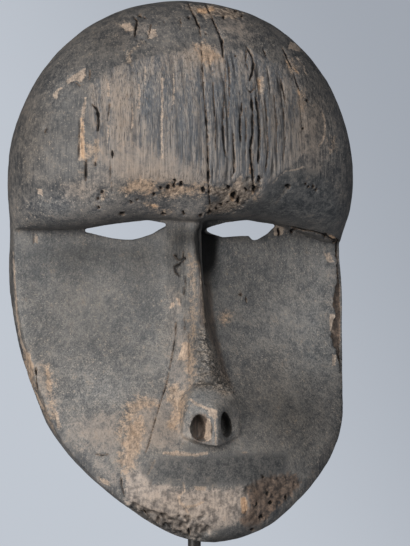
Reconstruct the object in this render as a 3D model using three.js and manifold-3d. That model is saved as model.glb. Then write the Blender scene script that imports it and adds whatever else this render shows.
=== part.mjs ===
// A carved wooden monkey mask on its steel display stand, in millimetres, +Z up.
// The mask faces -Y. It is one piece of wood: a bulging forehead that overhangs a dished face,
// two slit eyes cut right through, a narrow nose with open nostrils, and a muzzle that juts
// forward. The back is hollowed out for a face. The stand is a foot plate and a steel rod, which
// rises behind the chin, bends back behind the face and ends in a crossbar under the crown. A
// short arm on it reaches forward behind the chin and keeps the mask from swinging.
// The origin is on the table, under the rod, at the centre of the foot's underside.
import * as THREE from "three";
import Module from "manifold-3d";
import { ConvexGeometry } from "three/addons/geometries/ConvexGeometry.js";
import { mergeVertices } from "three/addons/utils/BufferGeometryUtils.js";

const wasm = await Module();
wasm.setup();

// Driving dimensions of the mask. Heights are above the lowest point of the chin. "Forward" is
// towards the viewer, from the plane of the rim at eye level.
const MASK_HEIGHT = 300;
const CHIN_ABOVE_TABLE = 80;
const OUTLINE_SHIFT = 2.6;
const RIM_WALL = 9;
const FACE_WALL = 10.5;
const FOREHEAD_WALL = 10;
const HOLLOW_WIDTH_SHARE = 0.91;
const HOLLOW_CREASE_RISE = 13;
const EDGE_RISE = 5;
const CREASE_HEIGHT = 170.5;
const BROW_ROUNDING = 27;
const BROW_ARCH = 6.2;
const BROW_ARCH_MIDDLE = 6;
const BROW_DIP = 6.5;
const FOREHEAD_DEPTH = 56;
const FOREHEAD_MIDDLE = 190;
const NOSE_BASE_HEIGHT = 53.3;
const NOSE_TIP_HEIGHT = 86.5;
const NOSTRIL_HALF_HEIGHT = 7.1;
const NOSTRIL_FLOOR = 67;
const NOSTRIL_SIDES = 16;
const NOSTRIL_TAPER = 0.24;
const EYE_CUT = { front: 46, back: -2 };
const EYE_FLARE = { sideways: 0.4, upright: 0.1 };

// Driving dimensions of the stand.
const ROD_DIAMETER = 7.5;
const ROD_FORWARD = 46;
const ROD_BEND_HEIGHT = 30;
const ROD_BACK = 15;
const ROD_BACK_HEIGHT = 105;
const ROD_BEND_REACH = 20;
const CROSSBAR_HEIGHT = 283;
const CROSSBAR_LENGTH = 48;
const CROSSBAR_DIAMETER = 6;
const CHIN_ARM_HEIGHT = 24;
const CHIN_ARM_LENGTH = 20;
const FOOT_WIDTH = 140;
const FOOT_DEPTH = 120;
const FOOT_THICKNESS = 10;
const FOOT_CORNER = 6;
const JOINT_GAP = 0.3;

const rad = THREE.MathUtils.degToRad;
const QUARTER_TURN = Math.PI / 2;
const clamp01 = (t) => Math.min(1, Math.max(0, t));
const smooth = (t) => clamp01(t) ** 2 * (3 - 2 * clamp01(t));
const mix = (a, b, t) => a + (b - a) * t;
const bell = (t) => Math.exp(-t * t);

// A smooth curve through [height, value] stations, read by height, without overshoot.
function stations(...pairs) {
  const sorted = [...pairs].sort((a, b) => a[0] - b[0]);
  const last = sorted.length - 1;
  const slope = (i) => (sorted[i + 1][1] - sorted[i][1]) / (sorted[i + 1][0] - sorted[i][0]);
  const tangent = (i) => {
    if (i === 0 || i === last) return slope(Math.min(i, last - 1));
    const [before, after] = [slope(i - 1), slope(i)];
    return before * after <= 0 ? 0 : (2 * before * after) / (before + after);
  };
  return (height) => {
    const h = Math.min(sorted[last][0], Math.max(sorted[0][0], height));
    let i = 0;
    while (i < last - 1 && h > sorted[i + 1][0]) {
      i++;
    }
    const span = sorted[i + 1][0] - sorted[i][0];
    const t = (h - sorted[i][0]) / span;
    return (
      sorted[i][1] * (1 + 2 * t) * (1 - t) ** 2 +
      tangent(i) * span * t * (1 - t) ** 2 +
      sorted[i + 1][1] * t * t * (3 - 2 * t) +
      tangent(i + 1) * span * t * t * (t - 1)
    );
  };
}

// The outline seen from the front: half width against height, from crown to chin. The first and
// last points mirror their neighbours, so that the curve is level at the crown and the chin.
const outline = new THREE.CatmullRomCurve3(
  [
    [-47.4, 289.6],
    [0, MASK_HEIGHT],
    [47.4, 289.6],
    [81.4, 259.6],
    [98.2, 220],
    [99.8, 195],
    [97.4, 169],
    [97.6, 140],
    [93.5, 105],
    [88.6, 80],
    [83.4, 60.5],
    [70.2, 40.5],
    [47.2, 19.5],
    [26, 6],
    [0, 0],
    [-26, 6],
  ].map(([width, height]) => new THREE.Vector3(width, height, 0)),
  false,
  "centripetal",
);
const lastStretch = outline.points.length - 1;
const OUTLINE_CROWN = 1 / lastStretch;
const OUTLINE_CHIN = 1 - 1 / lastStretch;

// Half width at a height, found by halving the stretch of outline that holds the height.
function halfWidth(height) {
  if (height >= MASK_HEIGHT || height <= 0) return 0;
  let [above, below] = [OUTLINE_CROWN, OUTLINE_CHIN];
  for (let i = 0; i < 40; i++) {
    const middle = (above + below) / 2;
    if (outline.getPoint(middle).y > height) above = middle;
    else below = middle;
  }
  return outline.getPoint(above).x;
}

// How far forward the sides are at their widest, the rim behind them, and the face's middle;
// and the share by which the rim is narrower than the widest line.
const widestForward = stations(
  [300, 20], [250, 19], [200, 18], [172, 10], [150, 11.5], [120, 18.5], [100, 26.5],
  [80, 37.5], [60, 49], [40, 60.5], [24, 68.5], [12, 73], [4, 74], [0, 72],
);
const rimForward = stations(
  [300, 0], [170, 0], [150, 1], [120, 5], [100, 11], [80, 19], [60, 28.5], [20, 48.5], [0, 57],
);
const rimTuck = (height) => 0.004 + 0.018 * smooth((Math.abs(height - 125) - 15) / 60);
const faceMiddle = stations(
  [180, 36], [165, 37.5], [150, 39], [135, 42], [120, 46.5], [100, 54.5], [80, 64],
  [65, 71.5], [50, 78], [40, 81], [25, 83.5], [12, 82], [4, 78.5], [0, 72],
);

// The face without its nose. Above the muzzle the cheeks are dished, below they swell.
function face(across, height) {
  const share = Math.min(1, Math.abs(across));
  const dished = (1 - share) ** 1.5;
  const swollen = 1 - share ** 2.2;
  const bulge = mix(swollen, dished, smooth((height - 36) / 90));
  const edge = widestForward(height) + EDGE_RISE * smooth(height / 15);
  return mix(edge, faceMiddle(height), bulge);
}

// The nose's ridge: soft towards one cheek, and steep towards the other, where the corner under
// the brow is cut deeper. It ends in the nose's tip, which is a solid of its own shape.
const noseForward = stations(
  [180, 46], [168, 49], [150, 51], [130, 54], [118, 57], [105, 61.8], [92, 67.6], [86, 69.8], [76, 72],
);
const noseHalfWidth = stations([180, 8], [165, 7.2], [130, 7.6], [105, 10.4], [90, 13], [78, 15]);
function nose(x, height) {
  const rise = noseForward(height) - faceMiddle(height);
  const softened = 1 + 0.7 * smooth((height - 80) / 40);
  const reach = Math.abs(x) / (noseHalfWidth(height) * (x < 0 ? softened : 1.1));
  const ridge = Math.exp(-((1.2 * reach) ** (x < 0 ? 2 : 3.2)));
  const corner = 5 * bell((x - 14) / 6) * smooth((height - 128) / 32);
  return rise * ridge * smooth((height - 66) / 12) - corner;
}

// The forehead's depth, and how far each height has turned from face to forehead. The brow
// starts at a sharp crease and swells out in a quarter round.
function foreheadDepth(height) {
  const towardsCrown = clamp01((height - FOREHEAD_MIDDLE) / (MASK_HEIGHT - FOREHEAD_MIDDLE));
  return FOREHEAD_DEPTH * Math.sqrt(1 - towardsCrown ** 2.6);
}
function browShare(height, crease) {
  const t = clamp01((height - crease) / BROW_ROUNDING);
  return Math.sqrt(1 - (1 - t) ** 2.5);
}
// The crease arches up over the eyes and dips at one end, so the rows near it are moved there.
function browLift(x, height) {
  const arch = BROW_ARCH * smooth((72 - Math.abs(x - BROW_ARCH_MIDDLE)) / 44) * (1 - 0.25 * bell(x / 14));
  const dip = BROW_DIP * smooth((x - 62) / 32);
  const reach = height > CREASE_HEIGHT ? 34 : 22;
  return (arch - dip) * bell((height - CREASE_HEIGHT) / reach);
}

// A point of the outer surface. The turn runs across the mask: from -90 to 90 degrees over its
// front, and in the last stretch on each side from the widest line back to the rim. A level
// section is fuller, with squarer shoulders, the lower the power of its cosine.
const SIDE_TURN = rad(10);
const FULLNESS = { face: 0.42, forehead: 0.88, hollowFace: 0.5, hollowForehead: 0.85 };
function faceForward(x, height, width = halfWidth(height)) {
  const side = widestForward(height);
  const across = (x - OUTLINE_SHIFT) / width;
  const cosine = Math.sqrt(Math.max(0, 1 - across ** 2));
  return side + (face(across, height) - side) * cosine ** FULLNESS.face + nose(x, height);
}
function outerPoint(turn, height) {
  const width = halfWidth(height);
  const side = widestForward(height);
  const behind = clamp01((Math.abs(turn) - QUARTER_TURN) / SIDE_TURN);
  if (behind > 0) {
    const tuck = 1 - rimTuck(height) * behind ** 2;
    const x = OUTLINE_SHIFT + Math.sign(turn) * width * tuck;
    const middle = MASK_HEIGHT / 2;
    const lift = browLift(Math.sign(turn) * width, height);
    const z = middle + (height - middle) * tuck + lift;
    return new THREE.Vector3(x, -mix(side, rimForward(height), behind), z);
  }
  const x = OUTLINE_SHIFT + width * Math.sin(turn);
  const asFace = width > 0 ? faceForward(x, height, width) : side;
  const asForehead = side + foreheadDepth(height) * Math.max(0, Math.cos(turn)) ** FULLNESS.forehead;
  const forward = mix(asFace, asForehead, browShare(height, CREASE_HEIGHT));
  return new THREE.Vector3(x, -forward, height + browLift(x, height));
}

// A point of the hollow: a smaller outline, and a plainer face without a nose.
function innerPoint(turn, height) {
  const innerHeight = mix(RIM_WALL, MASK_HEIGHT - RIM_WALL, height / MASK_HEIGHT);
  const x = OUTLINE_SHIFT + halfWidth(height) * HOLLOW_WIDTH_SHARE * Math.sin(turn);
  const rim = rimForward(height);
  const cosine = Math.max(0, Math.cos(turn));
  const faceDepth = face(Math.sin(turn), innerHeight) - FACE_WALL - rim;
  const asFace = rim + faceDepth * cosine ** FULLNESS.hollowFace;
  const depth = Math.max(0, widestForward(height) + foreheadDepth(height) - FOREHEAD_WALL - rim);
  const asForehead = rim + depth * cosine ** FULLNESS.hollowForehead;
  const forward = mix(asFace, asForehead, browShare(innerHeight, CREASE_HEIGHT + HOLLOW_CREASE_RISE));
  return new THREE.Vector3(x, -forward, innerHeight);
}

// Heights of the rows, close together where the form turns sharply.
function spread(from, to, count, ease = (t) => t) {
  return Array.from({ length: count }, (_, i) => mix(from, to, ease(i / count)));
}
const roundTop = CREASE_HEIGHT + BROW_ROUNDING;
const bridgeFoot = 100;
const chinTop = 25;
const rows = [
  ...spread(MASK_HEIGHT, roundTop, 14, (t) => 1 - Math.cos(t * QUARTER_TURN)),
  ...spread(roundTop, CREASE_HEIGHT, 9, (t) => 1 - (1 - t) ** 2.1),
  ...spread(CREASE_HEIGHT, bridgeFoot, 12),
  ...spread(bridgeFoot, NOSE_BASE_HEIGHT, 10),
  ...spread(NOSE_BASE_HEIGHT, chinTop, 6),
  ...spread(chinTop, 0, 9, (t) => Math.sin(t * QUARTER_TURN)),
  0,
];

// Turns of the columns: fine across the nose, wider over the cheeks, fine round the edges.
function bothSides(half) {
  return [...half.map((t) => -t).reverse(), 0, ...half];
}
const outerTurns = bothSides([
  ...Array.from({ length: 7 }, (_, i) => Math.asin((2.9 * (i + 1)) / 100)),
  ...spread(rad(16), rad(70), 8),
  ...spread(rad(70), QUARTER_TURN, 3),
  QUARTER_TURN,
  QUARTER_TURN + SIDE_TURN / 2,
  QUARTER_TURN + SIDE_TURN,
]);
const innerTurns = bothSides([...spread(rad(10), rad(80), 7), rad(80), QUARTER_TURN]);

// A sheet of points, row by row, as triangles. Turning it over makes it face the other way.
function sheet(turns, pointAt, turnedOver) {
  const grid = rows.map((height) => turns.map((turn) => pointAt(turn, height)));
  const triangles = [];
  for (let r = 0; r + 1 < rows.length; r++)
    for (let c = 0; c + 1 < turns.length; c++) {
      const [a, b, d, e] = [grid[r][c], grid[r][c + 1], grid[r + 1][c], grid[r + 1][c + 1]];
      const shorter = a.distanceTo(e) < b.distanceTo(d);
      const pair = shorter ? [[a, d, e], [a, e, b]] : [[a, d, b], [b, d, e]];
      for (const [p, q, s] of pair) triangles.push(turnedOver ? [p, s, q] : [p, q, s]);
    }
  return { grid, triangles };
}

// Triangles as a manifold-3d solid, with shared corners merged and empty faces dropped.
function solidFromTriangles(triangles) {
  const soup = new THREE.BufferGeometry().setFromPoints(triangles.flat());
  const merged = mergeVertices(soup, 1e-3);
  const index = [];
  for (let i = 0; i < merged.index.count; i += 3) {
    const [a, b, c] = [0, 1, 2].map((k) => merged.index.getX(i + k));
    if (a !== b && b !== c && c !== a) index.push(a, b, c);
  }
  return new wasm.Manifold(
    new wasm.Mesh({
      numProp: 3,
      vertProperties: new Float32Array(merged.attributes.position.array),
      triVerts: new Uint32Array(index),
    }),
  );
}

function solidFromGeometry(geometry) {
  const soup = geometry.index ? geometry.toNonIndexed() : geometry;
  const at = soup.attributes.position;
  const triangles = [];
  for (let i = 0; i < at.count; i += 3)
    triangles.push([0, 1, 2].map((k) => new THREE.Vector3().fromBufferAttribute(at, i + k)));
  return solidFromTriangles(triangles);
}

function geometryFromSolid(solid) {
  const { vertProperties, triVerts } = solid.getMesh();
  return new THREE.BufferGeometry()
    .setAttribute("position", new THREE.BufferAttribute(vertProperties, 3))
    .setIndex(new THREE.BufferAttribute(triVerts, 1))
    .toNonIndexed();
}

// The carved shell: outer sheet, hollow, and the rim that joins them.
function shell() {
  const outer = sheet(outerTurns, outerPoint, false);
  const inner = sheet(innerTurns, innerPoint, true);
  const rim = [];
  for (let r = 0; r + 1 < rows.length; r++) {
    const [ol, olBelow] = [outer.grid[r][0], outer.grid[r + 1][0]];
    const [il, ilBelow] = [inner.grid[r][0], inner.grid[r + 1][0]];
    const [or, orBelow] = [outer.grid[r].at(-1), outer.grid[r + 1].at(-1)];
    const [ir, irBelow] = [inner.grid[r].at(-1), inner.grid[r + 1].at(-1)];
    rim.push([ol, il, olBelow], [il, ilBelow, olBelow]);
    rim.push([or, orBelow, ir], [ir, orBelow, irBelow]);
  }
  return solidFromTriangles([...outer.triangles, ...inner.triangles, ...rim]);
}

// The nose's tip: a wedge with a flat, sloping top, whose two front faces meet in an upright edge.
// Its corners are [how far left, how far right, forward, height].
function noseTip() {
  const corners = [
    [7.1, 8, 71.2, NOSE_TIP_HEIGHT],
    [7.1, 8, 58, NOSE_TIP_HEIGHT],
    [10, 12.4, 73.4, 82.5],
    [13.2, 14.3, 75.5, 77.8],
    [15.5, 16.5, 60, 77.8],
    [0.8, 0.8, 85.3, 72.9],
    [14.8, 16.9, 75, 71.7],
    [16.7, 17.3, 74.2, 58.5],
    [15.5, 17, 70, 55.5],
    [0.8, 0.8, 85.3, NOSE_BASE_HEIGHT],
  ];
  const points = corners.flatMap(([left, right, forward, height]) => [
    new THREE.Vector3(-left, -forward, height),
    new THREE.Vector3(right, -forward, height),
  ]);
  return solidFromGeometry(new ConvexGeometry(points));
}

// An eye: a slit through the wall, seen from the front as a closed line of corners. It keeps its
// size down to the face's surface and widens behind it, as where a knife works from the back.
function eyeCutter(corners) {
  const slit = new THREE.Shape(corners.map(([x, height]) => new THREE.Vector2(x, height)));
  const box = new THREE.Box2().setFromPoints(slit.getPoints());
  const middle = box.getCenter(new THREE.Vector2());
  const half = box.getSize(new THREE.Vector2()).divideScalar(2);
  const body = new THREE.ExtrudeGeometry(slit, { depth: 2, steps: 2, bevelEnabled: false });
  const at = body.attributes.position;
  for (let i = 0; i < at.count; i++) {
    const [x, height, ring] = [at.getX(i), at.getY(i), Math.round(at.getZ(i))];
    const surface = faceForward(x, height);
    const forward = [EYE_CUT.back, surface, EYE_CUT.front][ring];
    const depth = Math.max(0, surface - forward);
    const wider = 1 + (EYE_FLARE.sideways * depth) / half.x;
    const higher = 1 + (EYE_FLARE.upright * depth) / half.y;
    at.setXYZ(i, mix(middle.x, x, wider), -forward, mix(middle.y, height, higher));
  }
  return solidFromGeometry(body);
}

// A nostril: an upright oval pocket, narrower at its top, cut into the tip's slanting front. The
// lean is how many degrees its foot swings to the right.
function nostrilCutter([sideways, height, w, lean]) {
  const h = NOSTRIL_HALF_HEIGHT;
  const rim = [];
  for (let i = 0; i < NOSTRIL_SIDES; i++) {
    const turn = (2 * Math.PI * i) / NOSTRIL_SIDES;
    const narrowed = 1 - NOSTRIL_TAPER * Math.cos(turn);
    rim.push(new THREE.Vector2(w * narrowed * Math.sin(turn), h * Math.cos(turn)));
  }
  const pocket = new THREE.ExtrudeGeometry(new THREE.Shape(rim), { depth: 26, bevelEnabled: false });
  pocket.rotateX(QUARTER_TURN);
  pocket.rotateY(-rad(lean));
  pocket.translate(sideways, -NOSTRIL_FLOOR, height);
  return solidFromGeometry(pocket);
}

// The eyes' corners, in order round each slit, as [sideways, height].
const leftEye = [
  [-56.5, 170.6], [-38, 174], [-22, 175.9], [-12.2, 173.8], [-20, 168.7], [-29.5, 165.4], [-40, 166.4],
];
const rightEye = [
  [12.6, 171], [24, 174.9], [38, 176.3], [56.4, 174], [51, 169.2], [44, 165.6], [41.4, 165.9], [39, 168.2],
  [33, 168.1], [22, 167.2],
];
// The nostrils, as [sideways, height, half width, lean].
const leftNostril = [-7.4, 63.2, 4.8, 8];
const rightNostril = [6.8, 64.9, 3.7, 13];
const maskCutters = [leftEye, rightEye].map(eyeCutter).concat([leftNostril, rightNostril].map(nostrilCutter));
const maskSolid = maskCutters.reduce((body, cutter) => body.subtract(cutter), shell().add(noseTip()));

const carvedWood = new THREE.MeshStandardMaterial({ color: 0x4a4641, roughness: 0.72, metalness: 0 });
const blackSteel = new THREE.MeshStandardMaterial({ color: 0x26272a, roughness: 0.5, metalness: 0.6 });

const mask = new THREE.Mesh(geometryFromSolid(maskSolid), carvedWood);
mask.name = "mask";
mask.position.set(0, ROD_FORWARD, CHIN_ABOVE_TABLE);

// The rod: up behind the chin, bent back behind the face, and up to the crown. Its points are
// [forward, height above the chin], and each bend is a smooth curve between two straight runs.
function rodPoint([forward, height]) {
  return new THREE.Vector3(0, ROD_FORWARD - forward, CHIN_ABOVE_TABLE + height);
}
const rodCorners = [
  [ROD_FORWARD, FOOT_THICKNESS + JOINT_GAP - CHIN_ABOVE_TABLE],
  [ROD_FORWARD, ROD_BEND_HEIGHT],
  [ROD_BACK, ROD_BACK_HEIGHT],
  [ROD_BACK, CROSSBAR_HEIGHT],
].map(rodPoint);
function bentRoute(corners, easing) {
  const route = new THREE.CurvePath();
  let start = corners[0];
  for (let i = 1; i + 1 < corners.length; i++) {
    const corner = corners[i];
    const before = corner.clone().add(corners[i - 1].clone().sub(corner).setLength(easing));
    const after = corner.clone().add(corners[i + 1].clone().sub(corner).setLength(easing));
    route.add(new THREE.LineCurve3(start, before));
    route.add(new THREE.QuadraticBezierCurve3(before, corner, after));
    start = after;
  }
  route.add(new THREE.LineCurve3(start, corners.at(-1)));
  return route;
}
function roundBar(route, diameter, steps) {
  const section = new THREE.Shape().absarc(0, 0, diameter / 2, 0, 2 * Math.PI);
  const bar = new THREE.ExtrudeGeometry(section, { steps, curveSegments: 6, extrudePath: route });
  return solidFromGeometry(bar);
}
const crossbarEnd = (side) => rodPoint([ROD_BACK, CROSSBAR_HEIGHT]).setX((side * CROSSBAR_LENGTH) / 2);
const armStart = rodPoint([ROD_FORWARD, CHIN_ARM_HEIGHT]);
const armEnd = rodPoint([ROD_FORWARD + CHIN_ARM_LENGTH, CHIN_ARM_HEIGHT]);
const rodSolid = roundBar(bentRoute(rodCorners, ROD_BEND_REACH), ROD_DIAMETER, 40)
  .add(roundBar(new THREE.LineCurve3(crossbarEnd(-1), crossbarEnd(1)), CROSSBAR_DIAMETER, 1))
  .add(roundBar(new THREE.LineCurve3(armStart, armEnd), CROSSBAR_DIAMETER, 1));
const rod = new THREE.Mesh(geometryFromSolid(rodSolid), blackSteel);
rod.name = "stand_rod";

// The foot: a thick plate with rounded corners, in which the rod stands.
function footPlate() {
  const [w, d, r] = [FOOT_WIDTH / 2, FOOT_DEPTH / 2, FOOT_CORNER];
  const plate = new THREE.Shape();
  plate.moveTo(-w + r, -d);
  plate.lineTo(w - r, -d).absarc(w - r, -d + r, r, -QUARTER_TURN, 0);
  plate.lineTo(w, d - r).absarc(w - r, d - r, r, 0, QUARTER_TURN);
  plate.lineTo(-w + r, d).absarc(-w + r, d - r, r, QUARTER_TURN, Math.PI);
  plate.lineTo(-w, -d + r).absarc(-w + r, -d + r, r, Math.PI, 3 * QUARTER_TURN);
  return new THREE.ExtrudeGeometry(plate, { depth: FOOT_THICKNESS, bevelEnabled: false, curveSegments: 5 });
}
const foot = new THREE.Mesh(footPlate(), blackSteel);
foot.name = "stand_foot";

const maskOnStand = new THREE.Group();
maskOnStand.add(mask, rod, foot);
export default maskOnStand;
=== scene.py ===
# %% [markdown]
# A carved wooden monkey mask on its steel stand, dressed for the camera.
#
# The packed model gives three rigid pieces: the mask, the rod that holds it up, and the foot
# plate. The solids have the right form and size, but no finish. This script gives the mask its
# cracks, grooves, chips and worn edges as real mesh, paints the old dark patina and the bare
# wood that shows through it, and finishes the steel of the stand.

# %% Load the frame
import itertools
import math

import bmesh
import bpy
import numpy as np
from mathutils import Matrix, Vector


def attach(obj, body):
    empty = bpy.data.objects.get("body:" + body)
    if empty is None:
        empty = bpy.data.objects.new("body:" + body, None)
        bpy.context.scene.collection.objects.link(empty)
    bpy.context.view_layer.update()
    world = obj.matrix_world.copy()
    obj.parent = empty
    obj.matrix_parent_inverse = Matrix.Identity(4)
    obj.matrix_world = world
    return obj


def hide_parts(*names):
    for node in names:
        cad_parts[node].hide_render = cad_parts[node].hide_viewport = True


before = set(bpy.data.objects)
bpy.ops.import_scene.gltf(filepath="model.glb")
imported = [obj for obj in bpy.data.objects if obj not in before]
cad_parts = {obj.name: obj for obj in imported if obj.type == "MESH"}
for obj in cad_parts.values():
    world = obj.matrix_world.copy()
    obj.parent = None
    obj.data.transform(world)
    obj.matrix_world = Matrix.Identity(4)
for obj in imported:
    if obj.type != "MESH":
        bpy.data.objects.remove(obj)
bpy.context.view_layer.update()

MM = 0.001
print("nodes:", sorted(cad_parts))

# %% [markdown]
# The camera comes first, because the marks of age on the mask were measured in the photograph.
# It stands a metre and a half away, level with the nose, and 18 degrees to one side of the mask.
# The lens is long, so the mask keeps its proportions. Two numbers say where the middle of the
# mask lies in the picture, and a small shift of the lens puts it there without turning the camera.

# %% The camera
PHOTO_WIDTH, PHOTO_HEIGHT = 410, 546
VIEW_TURN = math.radians(-18)
VIEW_DISTANCE = 1.5
LENS_PX = 2702
SENSOR_MM = 36
MIDDLE_OF_MASK = Vector((0, 0.006, 0.230))
MIDDLE_PX = (191.0, 267.3)


def placed(name, data):
    """An object that shows the given data, in the scene."""
    thing = bpy.data.objects.new(name, data)
    bpy.context.scene.collection.objects.link(thing)
    return thing


view_back = Vector((math.sin(VIEW_TURN), -math.cos(VIEW_TURN), 0))
view_right = Vector((math.cos(VIEW_TURN), math.sin(VIEW_TURN), 0))
view_up = Vector((0, 0, 1))
eye_point = MIDDLE_OF_MASK + view_back * VIEW_DISTANCE

lens = bpy.data.cameras.new("camera")
lens.sensor_width = SENSOR_MM
lens.lens = LENS_PX / PHOTO_HEIGHT * SENSOR_MM
lens.shift_x = (PHOTO_WIDTH / 2 - MIDDLE_PX[0]) / PHOTO_HEIGHT
lens.shift_y = (MIDDLE_PX[1] - PHOTO_HEIGHT / 2) / PHOTO_HEIGHT
camera = placed("camera", lens)
camera.location = eye_point
camera.rotation_euler = view_back.to_track_quat("Z", "Y").to_euler()
bpy.context.scene.camera = camera
print(f"lens {lens.lens:.1f} mm, shift {lens.shift_x:.4f} {lens.shift_y:.4f}")


# %% [markdown]
# Studio light: one large soft lamp from the viewer's left and a little above, a dimmer one over
# the camera, and a weak one from the right so that the shadow side keeps its form. Each is
# placed by its turn from the camera in degrees, its height and its distance in metres.

# %% Lamps
def soft_lamp(name, place, width, power, colour):
    data = bpy.data.lights.new(name, "AREA")
    data.shape = "DISK"
    data.size = width
    data.energy = power
    data.color = colour
    lamp = placed(name, data)
    lamp.location = place
    lamp.rotation_euler = (Vector(place) - MIDDLE_OF_MASK).to_track_quat("Z", "Y").to_euler()


def beside_camera(turn_degrees, height, distance):
    turn = VIEW_TURN + math.radians(turn_degrees)
    return (math.sin(turn) * distance, -math.cos(turn) * distance, height)


WARM_WHITE, COOL_WHITE, SKY_WHITE = (1.0, 0.98, 0.95), (0.96, 0.98, 1.0), (0.9, 0.95, 1.0)
soft_lamp("key_light", beside_camera(-38, height=0.46, distance=1.4), 0.9, power=26, colour=WARM_WHITE)
soft_lamp("front_light", beside_camera(4, height=0.8, distance=1.3), 1.0, power=11, colour=COOL_WHITE)
soft_lamp("right_light", beside_camera(62, height=0.45, distance=1.7), 1.0, power=3, colour=SKY_WHITE)
print("lamps: 3")

# %% [markdown]
# Shader maths. The room and the materials are trees of nodes, and written out by hand their
# sums are hard to follow. This class wraps an output of a node, so that a sum on wraps adds
# its Math nodes.

# %% A small helper for node trees
class Wire:
    """An output of a shader node, which can be used in sums."""

    def __init__(self, tree, socket=None):
        self.tree = tree
        self.socket = socket

    def node(self, kind, settings, sockets, output=0):
        """Adds a node, sets it, feeds its sockets and gives one of its outputs."""
        made = self.tree.nodes.new(kind)
        for name, value in settings.items():
            setattr(made, name, value)
        for name, value in sockets.items():
            if isinstance(value, Wire):
                self.tree.links.new(value.socket, made.inputs[name])
            else:
                made.inputs[name].default_value = value
        return Wire(self.tree, made.outputs[output])

    def math(self, operation, *values):
        return self.node("ShaderNodeMath", {"operation": operation}, dict(enumerate(values)))

    def __add__(self, other):
        return self.math("ADD", self, other)

    def __sub__(self, other):
        return self.math("SUBTRACT", self, other)

    def __rsub__(self, other):
        return self.math("SUBTRACT", other, self)

    def __mul__(self, other):
        return self.math("MULTIPLY", self, other)

    __radd__ = __add__
    __rmul__ = __mul__

    def above(self, other):
        return self.math("MAXIMUM", self, other)

    def step(self, low, high):
        """0 below low, 1 above high, smooth between."""
        settings = {"interpolation_type": "SMOOTHSTEP"}
        return self.node("ShaderNodeMapRange", settings, {0: self, 1: low, 2: high})

    def blend(self, first, second):
        """The first colour where this is 0, the second where it is 1."""
        settings = {"data_type": "RGBA"}
        return self.node("ShaderNodeMix", settings, {0: self, 6: first, 7: second}, output=2)

    def attribute(self, name):
        return self.node("ShaderNodeAttribute", {"attribute_name": name}, {}, output=2)

    def noise(self, size_mm, stretch=(1, 1, 1), detail=3.0, roughness=0.6, lean=0.0):
        """Noise from 0 to 1 with lumps of this size, longer along the axes with a low stretch."""
        scale = tuple(share / (size_mm * MM) for share in stretch)
        place = self.node("ShaderNodeTexCoord", {}, {}, output=3)
        if lean:
            place = self.node("ShaderNodeMapping", {}, {0: place, 2: (0, math.radians(lean), 0)})
        mapped = self.node("ShaderNodeMapping", {}, {0: place, 3: scale})
        sockets = {"Vector": mapped, "Scale": 1.0, "Detail": detail, "Roughness": roughness}
        return self.node("ShaderNodeTexNoise", {}, sockets)

    def scaled(self, share):
        """A colour made lighter or darker."""
        return self.node("ShaderNodeVectorMath", {"operation": "SCALE"}, {0: self, "Scale": share})

    def tinted(self, tint):
        """A colour multiplied by another."""
        return self.node("ShaderNodeVectorMath", {"operation": "MULTIPLY"}, {0: self, 1: tint})


def new_material(name):
    """A material, a wire that starts its tree, and the sockets of its shader."""
    material = bpy.data.materials.new(name)
    material.use_nodes = True
    shader = material.node_tree.nodes["Principled BSDF"]
    return material, Wire(material.node_tree), shader.inputs


def feed(wire, socket):
    wire.tree.links.new(wire.socket, socket)


def rgb(red, green, blue):
    return red, green, blue, 1


print("sums for shaders:", [name for name in vars(Wire) if not name.startswith("_")])

# %% [markdown]
# The room. A backdrop is seen only by the camera. It falls from a paler to a darker blue-grey
# towards the upper right, by the direction that a ray goes. What the mask feels as light from
# all round is much dimmer than the backdrop, or its shadows would be washed out. A Light Path
# node tells the two kinds of ray apart. The floor is a plain pale disc under the stand.

# %% Room and floor
PALE_BACKDROP, DARK_BACKDROP = rgb(0.53, 0.57, 0.63), rgb(0.35, 0.38, 0.43)
ROOM_GLOW = rgb(0.085, 0.09, 0.10)
FALL_FROM, FALL_TO = -0.06, 0.12
PALE_FLOOR = rgb(0.60, 0.63, 0.67)

room = bpy.data.worlds.new("room")
room.use_nodes = True
sky = Wire(room.node_tree)
direction = sky.node("ShaderNodeTexCoord", {}, {}, output="Generated")
towards_dark = {0: direction, 1: view_right * 0.85 + view_up * 0.5}
sideways = sky.node("ShaderNodeVectorMath", {"operation": "DOT_PRODUCT"}, towards_dark, output="Value")
backdrop = sideways.step(FALL_FROM, FALL_TO).blend(PALE_BACKDROP, DARK_BACKDROP)
seen = sky.node("ShaderNodeLightPath", {}, {}, output="Is Camera Ray")
feed(seen.blend(ROOM_GLOW, backdrop), room.node_tree.nodes["Background"].inputs["Color"])
bpy.context.scene.world = room
bpy.context.scene.view_settings.view_transform = "Standard"

FLOOR_RADIUS = 0.6
FLOOR_DROP = 0.0005
floor_form = bmesh.new()
bmesh.ops.create_circle(floor_form, cap_ends=True, segments=96, radius=FLOOR_RADIUS)
bmesh.ops.translate(floor_form, verts=floor_form.verts, vec=(0, 0, -FLOOR_DROP))
floor_mesh = bpy.data.meshes.new("floor")
floor_form.to_mesh(floor_mesh)
floor_form.free()
floor = placed("floor", floor_mesh)
pale_floor, _, floor_sockets = new_material("pale_floor")
floor_sockets["Base Color"].default_value = PALE_FLOOR
floor_sockets["Roughness"].default_value = 0.9
floor.data.materials.append(pale_floor)
print("floor radius", FLOOR_RADIUS)

# %% [markdown]
# The mask's mesh. The solid is made of flat faces, so a copy of it is merged, its triangles are
# joined to four-sided faces, its sharp edges and corners are creased, and a subdivision surface
# rounds the rest as a carver's scraper does. A remesh then gives even faces of about six tenths
# of a millimetre, fine enough to carve cracks and pits into by moving points. Once that is done,
# a decimation thins the faces out again where the surface is plain. Sculpting by hand could give
# the same marks, but moving points by rules can be read, changed and run again.

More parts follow.
